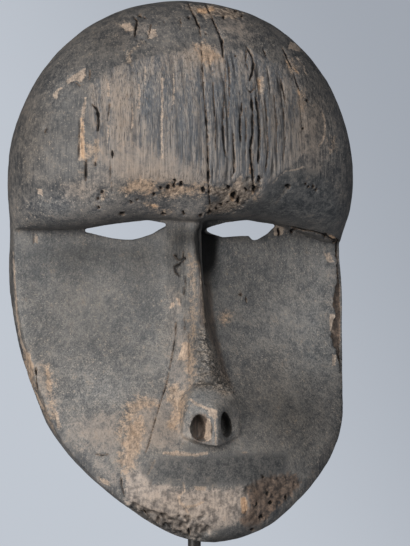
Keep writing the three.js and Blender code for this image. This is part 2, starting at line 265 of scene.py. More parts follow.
# %% The mask's smooth form
SHARP_EDGE = math.radians(36)
SHARP_TURN = math.radians(32)
FLAT_JOIN = math.radians(20)
SQUARE_JOIN = math.radians(60)
SAME_PLACE = 0.01 * MM
FINE_FACE = 0.62 * MM
TRIANGLE_LIMIT = 196000

mask_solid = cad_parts["mask"]


def finished_mesh(form, name, *modifiers):
    """A mesh made from a bmesh by modifiers given as (type, settings)."""
    draft = bpy.data.meshes.new(name)
    form.to_mesh(draft)
    form.free()
    return shaped_mesh(draft, name, *modifiers)


def shaped_mesh(draft, name, *modifiers, group=None):
    """A mesh made from another one by modifiers given as (type, settings)."""
    holder = placed(name, draft)
    if group:
        holder.vertex_groups.new(name=group[0]).add(group[1].tolist(), 1.0, "REPLACE")
    for kind, settings in modifiers:
        modifier = holder.modifiers.new(kind.lower(), kind)
        for key, value in settings.items():
            setattr(modifier, key, value)
    bpy.context.view_layer.update()
    evaluated = holder.evaluated_get(bpy.context.evaluated_depsgraph_get())
    mesh = bpy.data.meshes.new_from_object(evaluated)
    mesh.name = name
    bpy.data.objects.remove(holder)
    bpy.data.meshes.remove(draft)
    return mesh


def join_faces(form):
    """Merges the doubles of a solid's loose triangles, and joins triangles to four-sided faces."""
    bmesh.ops.remove_doubles(form, verts=form.verts, dist=SAME_PLACE)
    bmesh.ops.join_triangles(
        form, faces=form.faces, angle_face_threshold=FLAT_JOIN, angle_shape_threshold=SQUARE_JOIN
    )


def turns_sharply(corner, sharp_edges):
    """True where sharp edges meet at a corner instead of running smoothly through it."""
    if len(sharp_edges) != 2:
        return len(sharp_edges) > 2
    ways = [(edge.other_vert(corner).co - corner.co).normalized() for edge in sharp_edges]
    return math.pi - ways[0].angle(ways[1]) > SHARP_TURN


form = bmesh.new()
form.from_mesh(mask_solid.data)
join_faces(form)
edge_crease = form.edges.layers.float.new("crease_edge")
corner_crease = form.verts.layers.float.new("crease_vert")
for edge in form.edges:
    if edge.is_manifold and edge.calc_face_angle() > SHARP_EDGE:
        edge[edge_crease] = 1
for corner in form.verts:
    if turns_sharply(corner, [edge for edge in corner.link_edges if edge[edge_crease] > 0]):
        corner[corner_crease] = 1
smooth_mesh = finished_mesh(
    form,
    "mask_form",
    ("SUBSURF", {"levels": 2, "render_levels": 2}),
    ("REMESH", {"mode": "VOXEL", "voxel_size": FINE_FACE, "use_smooth_shade": True}),
    ("SMOOTH", {"factor": 0.5, "iterations": 3}),
)
print("mask form:", len(smooth_mesh.vertices), "points")

# %% [markdown]
# Wood ages in places, not evenly, so the marks go where the photograph shows them. Each point of
# the mesh is projected to the picture, as the camera will see it, and a mark is given by its
# places there, in pixels from the top left corner. A mark only touches what faces the camera.
# The mask's far sides stay plain, and the hollow gets the strokes of a gouge instead.

# %% Points, facings and places in the picture
def read_points(mesh, name, width):
    values = np.empty(len(mesh.vertices) * width, np.float32)
    mesh.vertices.foreach_get(name, values)
    return values.reshape(-1, width).astype(float)


def in_picture(points):
    """Where points show in the picture, in pixels from its top left corner."""
    offset = points - np.array(eye_point)
    depth = -(offset @ np.array(view_back))
    across = MIDDLE_PX[0] + LENS_PX * (offset @ np.array(view_right)) / depth
    down = MIDDLE_PX[1] - LENS_PX * (offset @ np.array(view_up)) / depth
    return np.stack([across, down], axis=1)


def ease(values, low=0.0, high=1.0):
    """A smooth step from 0 at low to 1 at high."""
    share = np.clip((values - low) / (high - low), 0, 1)
    return share * share * (3 - 2 * share)


points = read_points(smooth_mesh, "co", 3)
facings = read_points(smooth_mesh, "normal", 3)
places = in_picture(points)
in_view = ease(facings @ np.array(view_back), 0.02, 0.25)
inner = ease(facings[:, 1], 0.15, 0.45)
print("in view:", int((in_view > 0.5).sum()), "hollow:", int((inner > 0.5).sum()))

# %% [markdown]
# Old wood needs irregular numbers that are the same on every run. This noise takes them from
# the cell of a lattice that a point lies in, by mixing the cell's three counts into one hash, and
# blends them smoothly between the cells' corners. Its cells may be longer one way, for grain.

# %% Noise from a lattice
CELL_PRIMES = (73856093, 19349663, 83492791)
SEED_PRIME, FIRST_MIX, SECOND_MIX = 2654435761, 1274126177, 2246822519
LOW_32_BITS, LOW_16_BITS = 0xFFFFFFFF, 0xFFFF


def lattice_noise(points_mm, size, seed):
    """Smooth noise from -1 to 1, with lumps of about the given size in millimetres."""
    spot = points_mm / np.array(size, float)
    cell = np.floor(spot).astype(np.int64)
    share = spot - cell
    share = share * share * (3 - 2 * share)
    total = np.zeros(len(spot))
    for corner in itertools.product((0, 1), repeat=3):
        counts = (cell + corner).astype(np.uint64)
        mixed = np.bitwise_xor.reduce(counts * np.array(CELL_PRIMES, np.uint64), axis=1) ^ seed * SEED_PRIME
        mixed = (mixed ^ (mixed >> 13)) * FIRST_MIX & LOW_32_BITS
        mixed = (mixed ^ (mixed >> 16)) * SECOND_MIX & LOW_32_BITS
        value = (mixed >> 8 & LOW_16_BITS) / (LOW_16_BITS / 2) - 1
        weight = np.where(corner, share, 1 - share).prod(axis=1)
        total += weight * value
    return total


points_mm = points / MM
coarse = lattice_noise(points_mm, 9, 1)
medium = lattice_noise(points_mm, 3.2, 2)
fine = lattice_noise(points_mm, 1.4, 3)
print("noise spread", round(float(coarse.std()), 3), round(float(fine.std()), 3))

# %% [markdown]
# Two measures in the picture do all the marking: how far a place is from a bent line, for
# cracks, and how far it lies inside an outline, for patches. Both are cut off at a short reach,
# so only the few points near a mark are worked on.

# %% Distances to lines and outlines
REACH = 14.0


def gap_to_stroke(spots, start, end):
    """The distance from places to a straight stroke, and the share of the stroke passed there."""
    start, along = np.array(start, float), np.subtract(end, start).astype(float)
    share = np.clip((spots - start) @ along / (along @ along), 0, 1)
    return np.linalg.norm(spots - start - share[:, None] * along, axis=1), share


def near_box(corners, reach):
    corners = np.array(corners, float)
    inside = (places > corners.min(0) - reach) & (places < corners.max(0) + reach)
    return np.flatnonzero(inside.all(axis=1) & (in_view > 0.01))


def gap_to_line(line):
    """Which places are near a bent line, how far off it in pixels, and how far from its ends."""
    near = near_box(line, REACH)
    gap = np.full(len(near), REACH)
    passed = np.zeros(len(near))
    lengths = [math.dist(start, end) for start, end in itertools.pairwise(line)]
    for count, (start, end) in enumerate(itertools.pairwise(line)):
        gap_here, share = gap_to_stroke(places[near], start, end)
        closer = gap_here < gap
        gap = np.where(closer, gap_here, gap)
        passed = np.where(closer, sum(lengths[:count]) + share * lengths[count], passed)
    return near, gap, np.minimum(passed, sum(lengths) - passed)


def depth_inside(outline):
    """How far every place lies inside a closed outline, in pixels, and below zero outside it."""
    depth = np.full(len(places), -REACH)
    near = near_box(outline, REACH)
    spots = places[near]
    gap = np.full(len(near), REACH)
    inside = np.zeros(len(near), bool)
    for start, end in zip(outline, outline[1:] + outline[:1]):
        gap = np.minimum(gap, gap_to_stroke(spots, start, end)[0])
        crossed = (start[1] > spots[:, 1]) != (end[1] > spots[:, 1])
        rise = (end[1] - start[1]) or 1e-6
        inside ^= crossed & (spots[:, 0] < start[0] + (spots[:, 1] - start[1]) * (end[0] - start[0]) / rise)
    depth[near] = np.where(inside, gap, -gap)
    return depth


def depth_in_any(outlines):
    return np.max([depth_inside(outline) for outline in outlines], axis=0)


wobbling = places + np.stack([0.9 * medium + 0.8 * fine, 1.3 * coarse + 1.1 * fine], axis=1)


def ragged_hole(x, y, half_width, half_height):
    """1 in the middle of a ragged oval, falling to 0 at its edge."""
    hole = np.zeros(len(places))
    near = near_box([(x, y)], max(half_width, half_height) * 1.5 + 2)
    squares = ((wobbling[near] - (x, y)) / (half_width, half_height)) ** 2
    hole[near] = np.clip(1.3 - squares.sum(axis=1), 0, 1)
    return hole * in_view


# %% [markdown]
# The splits. Seasoning wood opens along its grain, and here the grain runs up and down, so
# the long splits do too: two start at the crown, and a group of four tears the right half of
# the forehead. Each line holds a split's half width in pixels, its depth in millimetres and its
# places from end to end. Pits are holes of insects and rot: place, half width, half height and
# depth. A split narrows to its ends, and noise opens and closes it on the way. Inside, splits
# and pits are painted black, the blacker the deeper they are: painted shade in the gaps.

# %% Splits and pits
SPLITS = [
    (0.8, 1.6, [(188, 2), (195, 16), (200, 28), (201.5, 42)]),
    (0.5, 1.0, [(201.4, 38), (202.5, 61), (203.7, 86), (205.6, 110)]),
    (1.0, 1.8, [(205.6, 106), (206.4, 116)]),
    (0.75, 1.6, [(206.2, 113), (207.6, 134), (208.4, 158)]),
    (1.1, 2.4, [(208.2, 153), (208.6, 172), (209, 184), (209.4, 198)]),
    (0.7, 1.8, [(209.4, 195), (210.4, 205), (209.8, 214)]),
    (0.9, 1.8, [(206, 3), (210, 12), (215, 23), (222, 39), (223, 49), (223.5, 56)]),
    (0.35, 0.7, [(223.5, 56), (225.6, 61), (226, 86), (224, 108)]),
    (1.0, 2.0, [(224, 107), (223.6, 119)]),
    (1.0, 2.2, [(223.4, 121), (224, 138), (225, 149), (226.6, 156)]),
    (1.3, 2.4, [(246.8, 45), (251.6, 54), (254.4, 63), (252.6, 73), (250.4, 80)]),
    (0.7, 1.2, [(247, 50), (245.8, 62), (249, 69)]),
    (0.9, 1.4, [(247.5, 88), (251, 92), (255, 88)]),
    (1.4, 2.8, [(252, 96), (253.2, 113), (253.3, 134), (251.4, 148)]),
    (1.1, 2.2, [(256.4, 97), (259, 115), (260, 134), (259.4, 150), (259.2, 163)]),
    (1.1, 2.6, [(251.2, 146), (251.4, 156), (253, 170), (253.8, 184), (255.4, 193)]),
    (1.2, 2.2, [(242.4, 103), (242, 115)]),
    (1.2, 2.2, [(240.8, 114), (240.2, 128), (241.4, 142)]),
    (0.9, 1.8, [(233.4, 130), (234, 143)]),
    (0.9, 1.8, [(234, 143), (235, 158), (234.4, 172), (232, 178)]),
    (0.8, 1.4, [(231.8, 168), (231, 178)]),
    (0.5, 1.0, [(213, 70), (214, 96), (215.6, 124), (216.4, 150)]),
    (0.4, 0.9, [(229.6, 64), (230, 92), (228.8, 118)]),
    (0.4, 0.9, [(246, 108), (246.6, 132), (246, 160)]),
    (0.5, 1.0, [(265, 96), (268, 124), (268.6, 150), (266, 172)]),
    (0.4, 0.9, [(274, 92), (277, 122), (277, 152)]),
    (0.4, 0.8, [(284, 108), (286, 136), (284, 160)]),
    (1.0, 1.6, [(295, 74), (297, 82), (300.5, 90)]),
    (0.8, 1.2, [(283, 47), (288, 58), (293, 68)]),
    (0.9, 1.2, [(264, 48), (266.5, 55)]),
    (0.7, 1.0, [(281, 78), (284, 92), (286, 104)]),
    (1.4, 2.2, [(92, 104), (96.5, 109), (98.4, 116), (98.6, 123), (97.6, 130)]),
    (1.1, 2.0, [(85.8, 160), (85.5, 181)]),
    (0.5, 1.2, [(79.6, 121), (78.8, 140), (78.6, 158)]),
    (0.7, 1.2, [(109.6, 104), (108.6, 112), (107.8, 120)]),
    (0.5, 0.6, [(110.3, 161), (110.8, 178), (112.6, 192)]),
    (1.1, 2.0, [(134, 16), (137, 20), (135.6, 28), (134.6, 36)]),
    (0.9, 1.6, [(151, 24), (149.6, 31), (148, 38)]),
    (0.9, 1.4, [(180.8, 18), (181.2, 29)]),
    (0.8, 1.2, [(164, 20), (165.4, 24)]),
    (0.8, 1.2, [(89.8, 68), (89.2, 79)]),
    (0.8, 1.0, [(74, 81), (79.6, 85)]),
    (1.3, 2.6, [(174, 257), (178, 260), (182.4, 259), (178.6, 264), (173.4, 267), (175, 272), (178.4, 276)]),
    (0.6, 1.4, [(182.6, 251), (182.4, 262)]),
    (1.0, 2.0, [(184.2, 277), (184.6, 287)]),
    (0.7, 1.4, [(183.2, 287), (183, 297)]),
    (0.6, 1.4, [(183.2, 316), (184.2, 329)]),
    (0.4, 0.7, [(187.8, 332), (188.4, 356), (188, 384)]),
    (0.6, 1.0, [(175.5, 322), (175, 335), (171, 360), (166, 385), (156, 417), (150, 440), (146, 452)]),
    (1.0, 1.4, [(36, 367), (35.6, 380), (36.4, 391)]),
    (0.7, 1.0, [(121, 472), (121.5, 486), (125, 498)]),
    (0.7, 1.0, [(96, 454), (102, 455), (108, 454)]),
    (1.6, 3.0, [(188.6, 529), (189.2, 539)]),
    (1.1, 2.0, [(287, 226.5), (300, 230.5), (314, 232.5), (326, 236.5), (337, 243)]),
    (0.7, 0.8, [(33.5, 234), (34, 244)]),
]
PITS = [
    (139.7, 14.5, 2.0, 1.6, 1.6), (145.5, 17, 1.5, 1.2, 1.2), (189.4, 16.5, 1.8, 2.0, 1.6),
    (236, 10.5, 1.8, 1.5, 1.4), (242, 15, 1.8, 1.5, 1.4), (224, 16, 1.5, 2.2, 1.2),
    (206, 33, 1.2, 1.2, 1.0), (112.6, 154.7, 1.5, 4.5, 1.6), (95.7, 164, 1.3, 2.4, 1.0),
    (45.5, 131, 1.5, 2.4, 1.0), (175.3, 181.5, 1.6, 2.2, 1.4), (168.5, 188.5, 2.0, 3.2, 1.8),
    (174, 186.5, 1.6, 3.4, 1.8), (181, 185, 1.8, 3.6, 1.8), (160.8, 189, 1.5, 2.0, 1.2),
    (154, 195.3, 2.0, 1.6, 1.4), (137, 200, 1.7, 1.4, 1.2), (131, 203, 1.3, 1.3, 1.0),
    (102, 193.3, 1.8, 1.8, 1.2), (98.3, 199, 1.4, 1.6, 1.0), (98.8, 208.5, 1.5, 1.2, 1.0),
    (203.7, 190, 2.2, 3.4, 2.0), (183, 214.4, 1.5, 3.0, 1.4), (163, 215, 3.2, 1.8, 1.4),
    (122.5, 214.3, 4.6, 1.8, 1.6), (200.6, 216, 2.4, 1.8, 1.4), (210.6, 213, 2.6, 2.6, 2.0),
    (238, 202.5, 1.6, 5.0, 2.2), (233.5, 196.8, 3.4, 4.0, 3.0), (229.3, 188.5, 1.7, 3.0, 2.0),
    (228.5, 203.5, 1.6, 1.6, 1.4), (222, 205, 1.8, 1.6, 1.4), (217, 209.5, 1.7, 1.7, 1.4),
    (254.6, 191, 3.0, 4.6, 3.0), (259.8, 180, 2.0, 4.0, 2.4), (246, 192, 1.6, 2.6, 1.6),
    (287.4, 186.5, 3.2, 2.0, 1.8), (306.5, 184.5, 1.4, 1.3, 1.0), (309.5, 187.5, 1.4, 1.3, 1.0),
    (313.5, 187, 1.4, 1.3, 1.0), (317, 189.5, 1.3, 1.3, 1.0), (304, 128.5, 1.2, 1.8, 1.0),
    (308, 101, 2.2, 1.2, 1.0), (236, 55, 1.2, 1.0, 0.9), (289, 187, 2.0, 2.6, 1.4),
    (183, 258, 2.6, 1.8, 1.6), (174.6, 256.4, 1.8, 1.4, 1.4), (142.3, 514.5, 3.4, 2.4, 2.6),
    (263, 476.5, 1.6, 1.6, 1.6), (271.5, 503, 2.4, 2.2, 2.0), (287, 498, 1.8, 3.0, 1.8),
    (262, 517, 2.6, 2.0, 2.0), (252, 530, 2.4, 1.8, 1.8), (279, 478, 1.2, 1.2, 1.0),
    (268, 493, 1.6, 3.0, 1.2), (257.5, 505, 1.6, 3.4, 1.2), (241, 294.5, 3.2, 1.2, 0.6),
    (246.5, 299, 1.2, 2.6, 0.6), (279, 232, 1.8, 4.0, 2.0), (293.5, 231, 4.0, 1.8, 1.6),
    (325, 236, 3.4, 2.4, 2.0), (334, 241, 2.6, 2.6, 2.0),
]
TAPER = 7.0
SPLIT_WALL, SPLIT_BLUR = 1.1, 0.9
LEAST_BLACK, BLACK_SPLIT_DEPTH, BLACK_PIT_DEPTH = 0.35, 2.4, 4.5
split_depth = np.zeros(len(points))
# Painted shade: splits and pits are painted black inside, the blacker the deeper they are cut.
painted_crack_shade = np.zeros(len(points))
wander = 0.6 * medium + 0.5 * fine
opening = 0.7 + 0.45 * lattice_noise(points_mm, (4, 4, 5), 7)
opening += 0.3 * lattice_noise(points_mm, (3, 3, 1.8), 9)
for half_width, depth, line in SPLITS:
    near, gap, from_end = gap_to_line(line)
    gap = np.abs(gap + 0.6 * wander[near])
    width = half_width * opening[near] * (0.2 + 0.8 * ease(from_end, 0, TAPER))
    cut = depth * ease(gap, width + SPLIT_WALL, 0) * opening[near]
    split_depth[near] = np.maximum(split_depth[near], cut)
    blackness = min(1, LEAST_BLACK + depth / BLACK_SPLIT_DEPTH)
    within = np.clip((width + SPLIT_BLUR / 2 - gap) / SPLIT_BLUR, 0, 1)
    painted_crack_shade[near] = np.maximum(painted_crack_shade[near], within * blackness)
for x, y, half_width, half_height, depth in PITS:
    hole = ragged_hole(x, y, 0.75 * half_width + 0.3, 0.9 * half_height + 0.4)
    split_depth = np.maximum(split_depth, depth * ease(hole, 0, 0.8))
    blackness = min(0.9, LEAST_BLACK + depth / BLACK_PIT_DEPTH)
    painted_crack_shade = np.maximum(painted_crack_shade, ease(hole, 0.1, 0.8) * blackness)
split_depth *= in_view
painted_crack_shade *= in_view
print(len(SPLITS), "splits and", len(PITS), "pits, deepest", round(float(split_depth.max()), 1), "mm")

# %% [markdown]
# The worn patches. Hands, weather and insects have taken the dark patina away in places. The
# middle of the forehead is worn to upright grooves, the brow's edge crumbles in a tan band, and
# the chin is bare, pitted wood. Elsewhere single chips show pale or orange wood, and the skin has
# thinned to tan or to a rubbed beige. Each patch is an outline in the picture. Its edge is
# roughened by noise here, and again in the material. The lines are scratches down to bare wood,
# each with its half width.

# %% Worn patches
GROOVED = [[
    (88, 88), (112, 66), (150, 56), (200, 46), (250, 50), (282, 66), (303, 92), (310, 130), (300, 160),
    (276, 178), (262, 196), (232, 200), (200, 186), (160, 182), (118, 176), (98, 160), (90, 120),
]]
DEEP_GROOVED = [[
    (206, 62), (240, 56), (262, 64), (290, 84), (303, 120), (298, 152), (278, 170), (262, 180),
    (232, 182), (208, 176),
]]
CRUMBLED = [
    [(206, 184), (230, 186), (248, 178), (262, 181), (262, 190), (248, 202), (236, 212), (216, 217),
     (202, 215), (204, 206), (216, 200), (207, 195)],
    [(178, 4), (214, 3), (240, 8), (247, 16), (236, 20), (214, 16), (206, 20), (196, 14)],
    [(98, 188), (107, 190), (108, 198), (101, 204)],
    [(127, 52), (140, 38), (150, 42), (134, 50), (132, 66), (124, 62)],
]
TAN_WORN = [
    [(256, 190), (260.4, 189), (259.4, 199), (255, 201), (252, 197)],
    [(285, 57), (294, 61), (297.6, 70), (292, 73), (288, 66)],
    [(298, 90), (303, 93), (306, 104), (303.4, 112), (299, 106)],
    [(331, 137), (335.6, 138), (337, 150), (333, 152), (331.6, 146)],
    [(84, 143), (98, 141), (99, 150), (94, 160), (86, 161)],
    [(220, 311), (230, 311), (231, 322), (223, 325), (219, 318)],
    [(120, 190), (130, 180), (150, 178), (157, 184), (156, 192), (146, 196), (136, 193), (128, 197)],
    [(160, 192), (170, 182), (188, 185), (206, 184), (206, 195), (188, 194), (172, 199), (160, 197)],
    [(144, 205), (152, 203), (162, 210), (174, 212), (166, 214), (150, 209)],
    [(194, 44), (204, 42), (216, 48), (222, 60), (206, 66), (200, 56)],
    [(188, 258), (196, 258), (197.6, 330), (194, 346), (196, 378), (188, 392), (185, 372), (189, 350),
     (190, 310)],
    [(22, 350), (28, 350), (33, 366), (34, 394), (44, 410), (56, 434), (50, 432), (36, 406), (28, 384)],
    [(44, 364), (48, 364), (53, 378), (53, 396), (56, 420), (50, 418), (49, 396), (47, 378)],
    [(126, 402), (140, 396), (156, 398), (160, 406), (142, 410), (128, 424), (120, 438), (116, 432),
     (122, 416)],
    [(124, 424), (140, 414), (146, 424), (142, 446), (134, 468), (126, 478), (119, 460)],
    [(165, 386), (176, 380), (186, 392), (186, 410), (176, 430), (166, 428), (174, 408), (166, 398)],
]
CHIN_WORN = [[
    (124, 470), (144, 468), (150, 480), (178, 487), (208, 489), (246, 486), (256, 492), (250, 512),
    (236, 526), (216, 532), (200, 540), (182, 538), (160, 528), (138, 514), (124, 500),
]]
CHIN_ROTTEN = [[
    (140, 512), (158, 512), (178, 516), (204, 518), (214, 530), (200, 541), (182, 540), (160, 530),
    (146, 520),
]]
CHIN_BROWN = [[
    (244, 486), (262, 474), (296, 472), (304, 482), (292, 498), (276, 512), (262, 526), (246, 534),
    (238, 520), (250, 506),
]]
BARE = [
    [(84.2, 96), (87, 98), (85.4, 110), (84.4, 122), (85, 138), (86, 161), (78, 161), (77.6, 138),
     (80, 119), (82, 106)],
    [(72, 74), (86.5, 66), (85.5, 74), (81, 83), (75, 80.5), (66, 85), (65, 80)],
    [(66, 84), (58, 92), (57, 101), (52, 96), (55, 90)],
    [(119, 24), (130, 22), (136, 29), (126, 32)],
    [(146, 30), (156, 28), (158, 36), (150, 40)],
    [(236, 180), (240, 175), (243, 176), (242, 184), (239, 191), (236, 192), (234.4, 186)],
    [(257.5, 76), (264, 76), (264, 94), (258, 94)],
    [(36, 188), (42, 189), (43, 197), (36, 194)],
    [(34.5, 233), (38, 233), (38, 244), (34.5, 242)],
    [(182, 341), (190, 343), (190, 352), (186, 361), (177, 360)],
    [(169, 303), (174, 301), (175, 307), (170, 309)],
    [(176, 297), (180, 300), (180, 306), (177, 304)],
    [(46, 366), (50, 371), (53, 384), (50, 396), (46, 386)],
    [(24, 352), (30, 352), (33.5, 366), (32.5, 382), (27, 372)],
    [(31, 384), (36, 392), (44, 410), (41, 413), (34, 400)],
    [(52, 404), (58, 412), (62, 428), (57, 428)],
    [(98, 476), (108, 480), (112, 488), (102, 484)],
    [(165, 453), (180, 452), (205, 454), (200, 456), (182, 456), (170, 455)],
    [(206.4, 418), (210.6, 418), (211.4, 441), (203, 441), (203.4, 429)],
    [(193, 485.6), (207, 486), (206, 490.6), (196, 491)],
    [(184, 506.4), (196, 504), (204, 500.4), (206, 502.4), (197, 507), (186, 509.4)],
    [(178, 495), (181, 495), (181.4, 501), (187, 507), (190, 513), (187.6, 514.6), (183, 509),
     (177.6, 502)],
    [(330, 313), (336, 313), (336, 332), (330, 331)],
    [(332, 353), (337, 354), (336, 366), (332, 366)],
    [(323, 251), (330, 252), (335, 262), (328, 263)],
    [(273, 225), (285, 225), (283, 235), (274, 236)],
    [(290, 40), (302, 46), (300, 52), (288, 48)],
    [(286, 184), (291, 186), (286, 194), (277, 205), (274, 205), (282, 194)],
    [(207, 408.6), (217.4, 409.6), (217.8, 418.8), (214, 419), (208.4, 416)],
]
BARE_LINES = [
    (0.9, [(162, 78), (162.4, 100), (161.8, 130), (162.2, 158)]),
    (0.8, [(173.6, 74), (174, 90), (173.4, 104)]),
    (0.8, [(108.6, 84), (108.4, 98)]),
    (0.8, [(108.6, 126), (107.4, 142)]),
    (0.8, [(145, 66), (145.4, 84)]),
    (0.9, [(139, 84), (139.4, 96), (139, 108)]),
    (0.7, [(132, 104), (133, 118), (131, 132)]),
    (0.8, [(322.5, 112), (325.2, 120), (325.4, 130), (323.6, 140), (319, 146)]),
    (0.7, [(273, 184), (279, 177), (286, 171), (295, 170), (304, 167)]),
    (1.0, [(12.6, 252), (14.6, 285), (16.6, 318), (20, 338), (24.5, 354)]),
    (1.5, [(190, 399), (197, 404), (206, 408), (216, 411)]),
    (0.9, [(198.5, 246), (201, 275), (203, 300), (204.5, 322)]),
    (1.4, [(164, 453), (180, 452.5), (196, 455), (207, 453)]),
    (0.9, [(243, 452.4), (248, 452)]),
    (0.8, [(148, 474), (152, 467), (155, 460)]),
    (1.0, [(183.3, 483), (185.3, 490), (179, 496.3)]),
    (1.0, [(214.5, 416), (215.4, 430), (215.8, 444)]),
    (0.8, [(296, 56), (304, 66), (306, 74)]),
]
RUBBED = [
    [(96, 148), (132, 138), (200, 160), (205, 186), (150, 178), (110, 192), (60, 202), (60, 182),
     (84, 176)],
    [(103, 84), (122, 78), (124, 100), (118, 124), (112, 150), (100, 152), (104, 110)],
    [(114, 22), (150, 22), (158, 38), (136, 40), (122, 34)],
    [(212, 6), (246, 12), (262, 40), (240, 46), (214, 34)],
    [(284, 42), (304, 60), (308, 100), (326, 108), (330, 148), (318, 182), (296, 172), (300, 120),
     (286, 80)],
    [(164, 286), (184, 286), (192, 330), (198, 380), (184, 396), (158, 396), (170, 350)],
    [(24, 352), (46, 360), (58, 392), (72, 424), (98, 452), (128, 474), (120, 498), (86, 466),
     (52, 420), (30, 380)],
    [(120, 420), (134, 398), (160, 390), (186, 396), (190, 440), (180, 452), (150, 454), (138, 474),
     (118, 480), (122, 450)],
    [(60, 420), (96, 408), (124, 410), (126, 450), (112, 466), (84, 452)],
    [(206, 62), (226, 60), (228, 90), (206, 90)],
    [(330, 250), (338, 252), (338, 300), (330, 330), (326, 300)],
]
OCHRE = [
    [(258, 77), (262, 78), (261.5, 90), (258, 90)],
    [(80, 118), (84, 112), (84.6, 136), (85.4, 160), (79.5, 160), (79, 136)],
    [(147, 204), (156, 204), (160, 208), (152, 209)],
    [(196, 7), (214, 5), (216, 10), (204, 14), (197, 11)],
    [(229, 195), (234, 189), (237, 198), (234, 204), (230, 202)],
    [(252, 186), (256, 187), (256, 196), (251, 196)],
    [(240, 497), (246.6, 496), (249, 508), (247, 515), (241, 515)],
    [(327, 234), (336, 236), (337, 242), (330, 241)],
    [(285, 58), (289, 60), (292, 67), (289, 69)],
    [(292, 64), (298, 69), (301, 76), (295, 73)],
    [(297, 80), (301, 88), (301, 99), (297, 93)],
    [(188, 158), (190.5, 159), (190, 166), (187.6, 165)],
    [(248.6, 164), (251, 162.4), (252, 168), (252.2, 174), (250.6, 176), (248.4, 172)],
]
FINE_GRAINED = GROOVED + [
    [(168, 236), (206, 236), (207, 300), (212, 336), (204, 384), (178, 394), (162, 394), (168, 300)],
    [(212, 486), (250, 484), (254, 518), (216, 524)],
    [(206, 20), (262, 20), (330, 90), (342, 150), (330, 180), (296, 172), (300, 100), (250, 50)],
]
TOOL_TICKED = [[
    (199, 328), (206, 328), (210, 340), (216, 352), (222, 368), (234, 391), (223, 394), (208, 389),
    (195, 387), (200, 362), (197, 350),
]]
# Painted shade: the steep right flank of the nose and the left nostril are coloured dark brown.
NOSE_FLANK_SHADE = [[
    (197.5, 256), (210, 256), (213, 300), (218, 334), (226, 366), (234, 388), (226, 386), (214, 350),
    (206, 330), (198.5, 326), (197, 300),
], [(191, 414), (206, 412), (212, 424), (212, 444), (192, 444)]]
RIM_BROKEN = [[
    (336, 240), (342, 240), (346, 300), (346, 373), (341, 372), (338, 352), (332, 336), (336, 314),
    (334, 300), (338, 276),
]]
# The crust over the mouth is real. The outlines at the brow's right end and under the chin's right end paint
# the shade there in the same dark colour.
CRUST_AND_SHADE = [
    [(139, 470), (150, 460), (168, 457), (208, 456), (246, 452), (290, 452), (286, 472), (252, 484),
     (208, 487), (180, 485), (150, 482)],
    [(183, 444), (206, 446), (206, 451), (186, 452)],
    [(212, 195), (222, 194), (224, 201), (218, 205), (211, 203)],
    [(243, 178), (249, 176), (252, 186), (251, 196), (244, 190)],
    [(214, 530), (236, 526), (252, 524), (262, 524), (246, 538), (220, 542)],
    [(266, 186), (286, 172), (306, 168), (330, 178), (340, 210), (334, 232), (290, 222), (246, 216),
     (262, 204)],
]
FACE = [[
    (16, 236), (90, 236), (134, 242), (178, 230), (204, 232), (216, 240), (256, 240), (288, 236),
    (342, 246), (342, 420), (300, 490), (200, 545), (120, 500), (40, 400), (14, 320),
]]


def soft_patch(outlines, blur=1.5):
    """1 well inside a patch with a ragged edge, 0 outside it."""
    return ease(depth_in_any(outlines) + 1.6 * medium + 0.8 * fine, -blur, blur) * in_view


SCRATCH_STRENGTH = 0.6
grooved = soft_patch(GROOVED, 8)
deep_grooved = soft_patch(DEEP_GROOVED, 7)
crumbled = soft_patch(CRUMBLED)
chin_worn = soft_patch(CHIN_WORN, 6)
chin_rotten = soft_patch(CHIN_ROTTEN, 2)
chin_brown = soft_patch(CHIN_BROWN, 4)
rim_broken = soft_patch(RIM_BROKEN, 1)
bare = soft_patch(BARE, 1.2)
for half_width, line in BARE_LINES:
    near, gap, _ = gap_to_line(line)
    bare[near] = np.maximum(bare[near], SCRATCH_STRENGTH * ease(gap, half_width + 1, 0) * in_view[near])
ticked = soft_patch(TOOL_TICKED, 4)
tan_worn = soft_patch(TAN_WORN, 3)
print("bare share of the front:", round(float(bare.sum() / in_view.sum()), 3))
